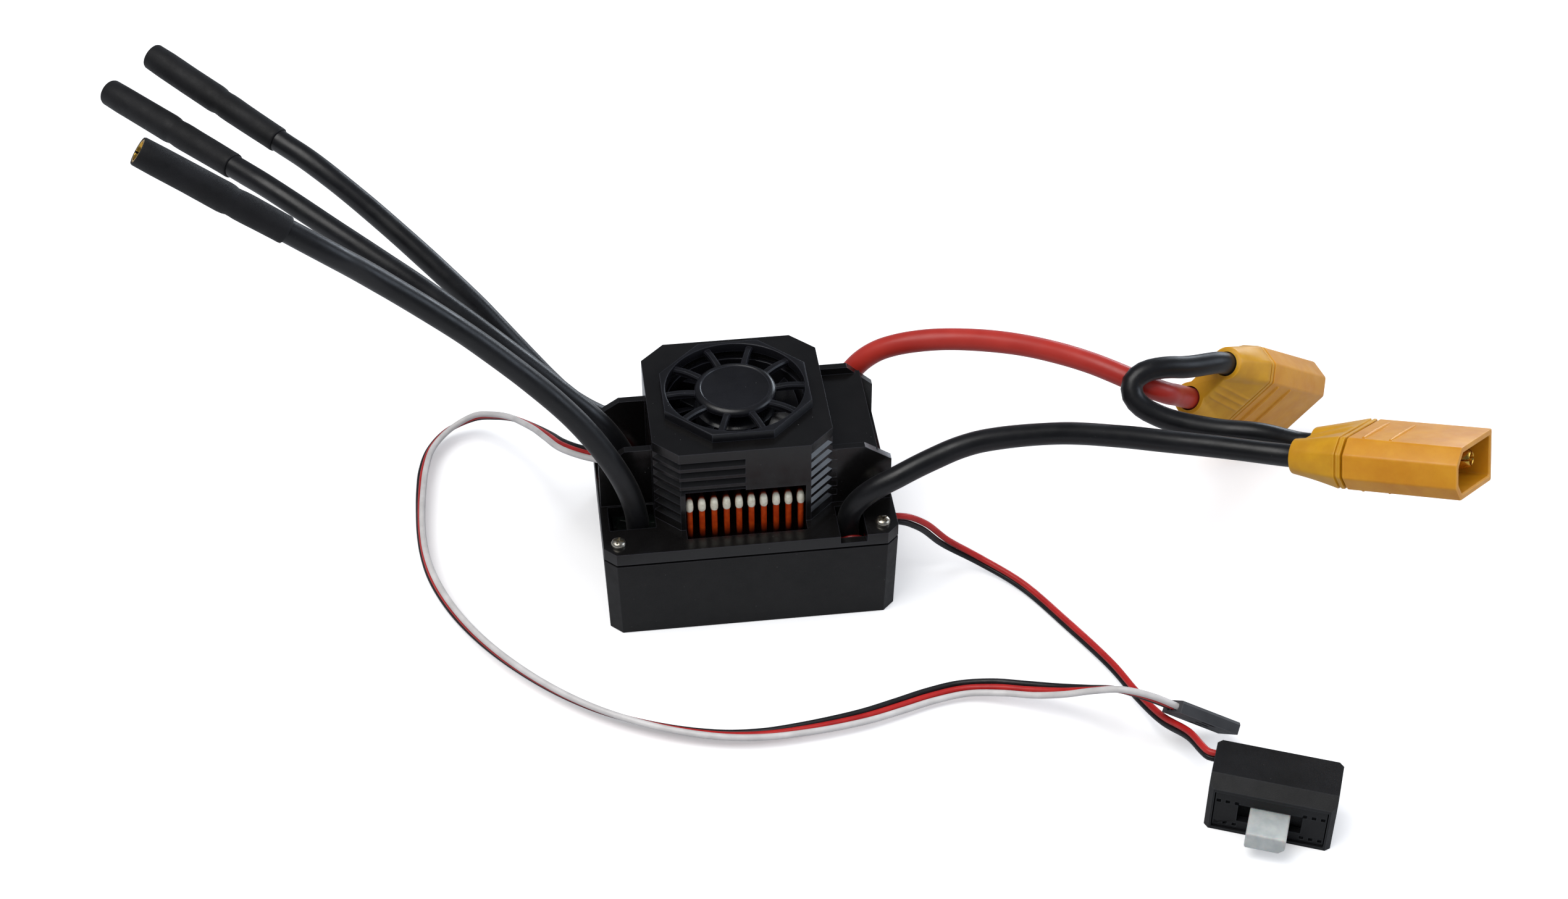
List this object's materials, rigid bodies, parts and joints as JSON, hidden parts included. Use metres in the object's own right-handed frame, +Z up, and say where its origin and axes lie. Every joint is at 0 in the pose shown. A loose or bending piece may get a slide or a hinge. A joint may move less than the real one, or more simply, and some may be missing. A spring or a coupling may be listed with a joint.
{
  "type": "electronic speed controller",
  "caption": "Brushless motor speed controller in a black case with a fan-cooled heatsink, motor leads, series battery connectors, a receiver lead and a slide switch.",
  "frame": {"origin": "middle of the case's flat underside", "axes": "+Z up through the fan; the heatsink's open side faces -Y; the motor leads leave towards -X and the battery leads towards +X"},
  "size_m": [0.2694, 0.1717, 0.1176],
  "materials": {
    "case_black": "satin moulded, fine texture",
    "fan_black": "satin moulded",
    "seal_rubber": "matte",
    "nickel": "nickel plated",
    "steel": "ground",
    "brass": "sintered",
    "gold": "gold plated",
    "magnet": "bonded ferrite",
    "stator": "laminations with copper windings",
    "anodised": "orange anodised, tips bare",
    "thermal": "soft silicone",
    "board_green": "solder resist",
    "chip_black": "moulded epoxy",
    "capacitor": "dark printed sleeve, no print",
    "lead_black": "satin silicone",
    "lead_red": "satin silicone",
    "sleeve": "heat-shrink",
    "amber": "moulded nylon",
    "amber_dark": "moulded nylon",
    "wire_white": "PVC",
    "wire_red": "PVC",
    "wire_black": "PVC",
    "plug_grey": "moulded",
    "switch_black": "satin moulded",
    "knob": "translucent white"
  },
  "bodies": {
    "controller": {"lower_case": "case_black", "case_seal": "seal_rubber", "upper_cover": "case_black", "case_screw_1": "nickel", "case_screw_2": "nickel", "case_screw_3": "nickel", "case_screw_4": "nickel", "fan_guard": "fan_black", "fan_frame": "fan_black", "fan_bearing": "brass", "fan_stator": "stator", "fan_wire_red": "wire_red", "fan_wire_black": "wire_black", "heatsink": "anodised", "thermal_pad": "thermal", "power_board": "board_green", "control_board": "board_green", "board_header": "chip_black", "microcontroller": "chip_black", "mosfet_1": "chip_black", "mosfet_2": "chip_black", "mosfet_3": "chip_black", "mosfet_4": "chip_black", "mosfet_5": "chip_black", "mosfet_6": "chip_black", "capacitor_1": "capacitor", "capacitor_2": "capacitor", "capacitor_3": "capacitor", "motor_wire_a": "lead_black", "motor_sleeve_a": "sleeve", "motor_bullet_a": "gold", "motor_wire_b": "lead_black", "motor_sleeve_b": "sleeve", "motor_bullet_b": "gold", "motor_wire_c": "lead_black", "motor_sleeve_c": "sleeve", "motor_bullet_c": "gold", "battery_wire_red": "lead_red", "battery_wire_black": "lead_black", "series_jumper_wire": "lead_black", "front_connector_housing": "amber", "front_connector_cap": "amber_dark", "front_connector_pin_1": "gold", "front_connector_pin_2": "gold", "rear_connector_housing": "amber", "rear_connector_cap": "amber_dark", "rear_connector_pin_1": "gold", "rear_connector_pin_2": "gold", "servo_wire_white": "wire_white", "servo_wire_red": "wire_red", "servo_wire_black": "wire_black", "servo_plug": "plug_grey", "switch_body": "switch_black", "switch_cover": "switch_black", "switch_wire_red": "wire_red", "switch_wire_black": "wire_black"},
    "fan_rotor": {"fan_rotor": "fan_black", "fan_magnet_ring": "magnet", "fan_shaft": "steel"},
    "switch_slider": {"switch_slider": "knob"}
  },
  "joints": [
    {"name": "fan_spin", "type": "hinge", "parent": "controller", "child": "fan_rotor", "pos_m": [-0.0007, 0, 0.036], "axis": [0, 0, 1], "continuous": true},
    {"name": "switch_slide", "type": "slide", "parent": "controller", "child": "switch_slider", "axis": [0.9232, -0.3843, 0], "range_m": [-0.002, 0.002]}
  ]
}
